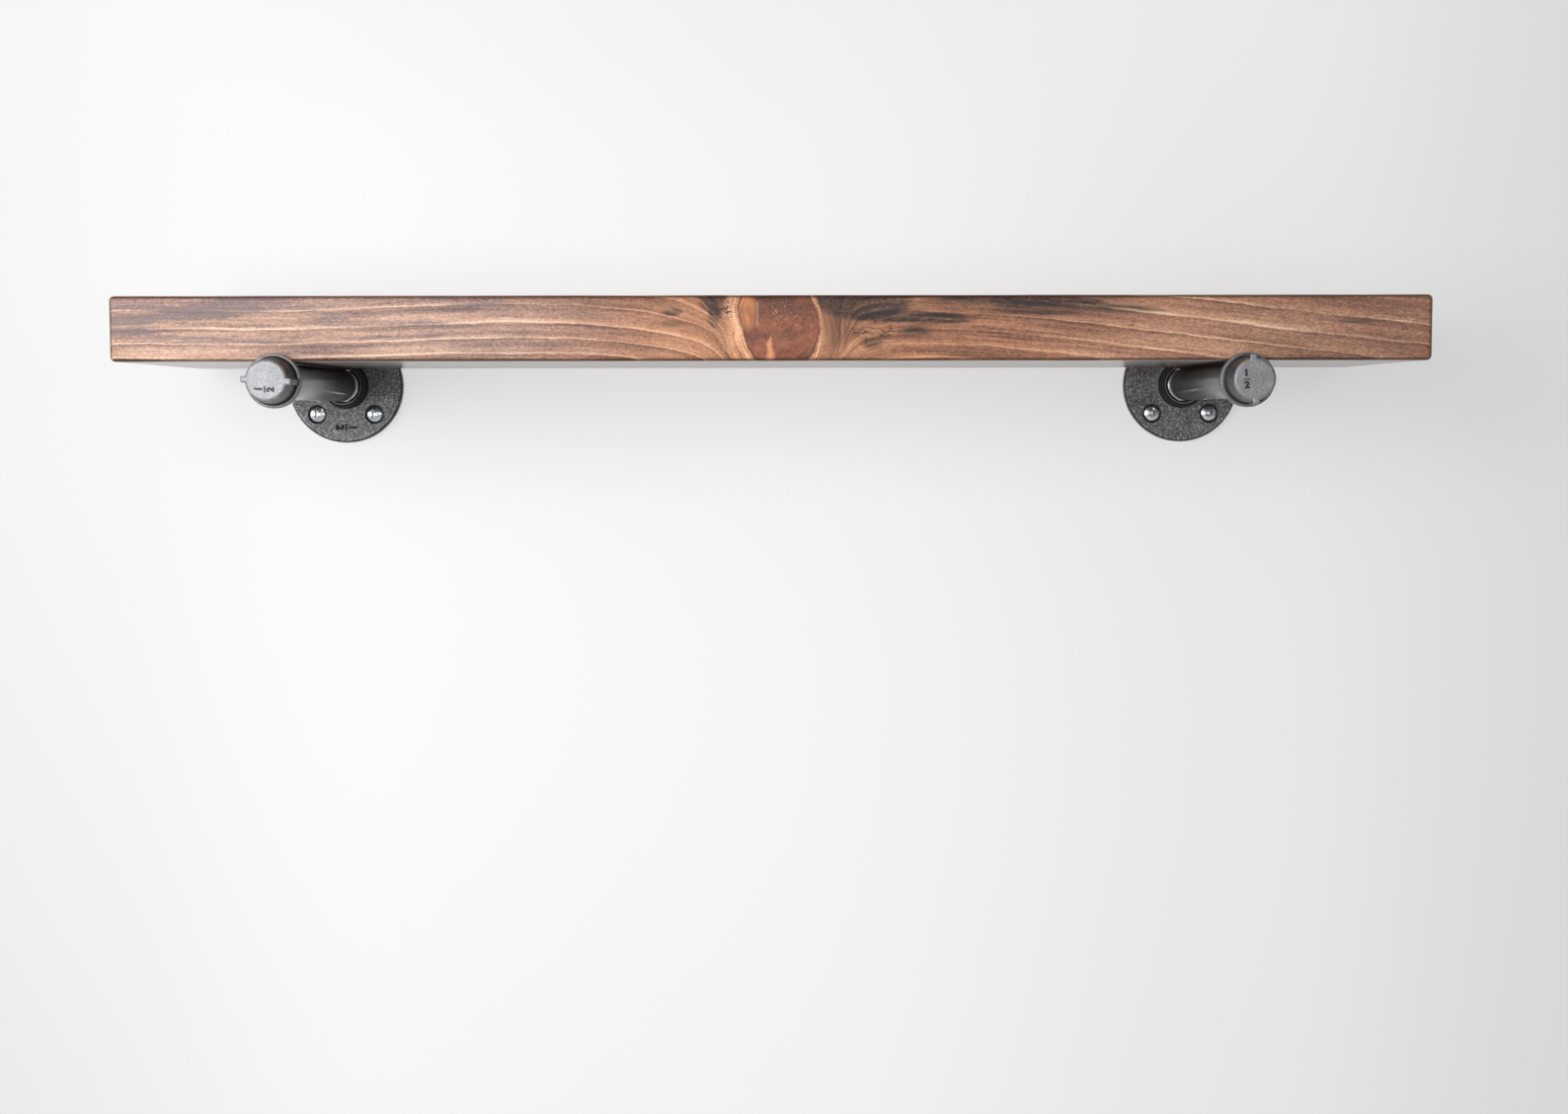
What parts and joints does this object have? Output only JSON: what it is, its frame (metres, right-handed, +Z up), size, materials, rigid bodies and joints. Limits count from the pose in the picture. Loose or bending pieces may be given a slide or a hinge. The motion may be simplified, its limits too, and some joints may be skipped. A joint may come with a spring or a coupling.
{
  "type": "wall shelf on pipe brackets",
  "caption": "Thick stained softwood plank lying on wall brackets of half-inch black iron pipe, each a floor flange, nipple and cap, that holds things against a wall.",
  "frame": {"origin": "on the wall plane, midway between the two flanges, at the height of the pipes' axes", "axes": "+X along the plank to the right as seen from the room, +Y into the wall, +Z up"},
  "size_m": [0.762, 0.2705, 0.0871],
  "materials": {
    "stained_wood": "walnut stain under a satin clear coat",
    "cast_iron": "sand-cast, clear coated",
    "lacquered_pipe": "black lacquer, bright thread ends",
    "cast_cap": "cast, smoothed, clear coated",
    "zinc_screw": "bright zinc"
  },
  "bodies": {
    "brackets": {"left_flange": "cast_iron", "right_flange": "cast_iron", "left_nipple": "lacquered_pipe", "right_nipple": "lacquered_pipe", "left_cap": "cast_cap", "right_cap": "cast_cap", "left_wall_screw_upper_right": "zinc_screw", "left_wall_screw_upper_left": "zinc_screw", "left_wall_screw_lower_left": "zinc_screw", "left_wall_screw_lower_right": "zinc_screw", "right_wall_screw_upper_right": "zinc_screw", "right_wall_screw_upper_left": "zinc_screw", "right_wall_screw_lower_left": "zinc_screw", "right_wall_screw_lower_right": "zinc_screw"},
    "plank": {"plank": "stained_wood"}
  },
  "joints": [
    {"name": "plank_lift", "type": "slide", "parent": "brackets", "child": "plank", "axis": [0, 0, 1], "range_m": [0, 0.06]}
  ]
}
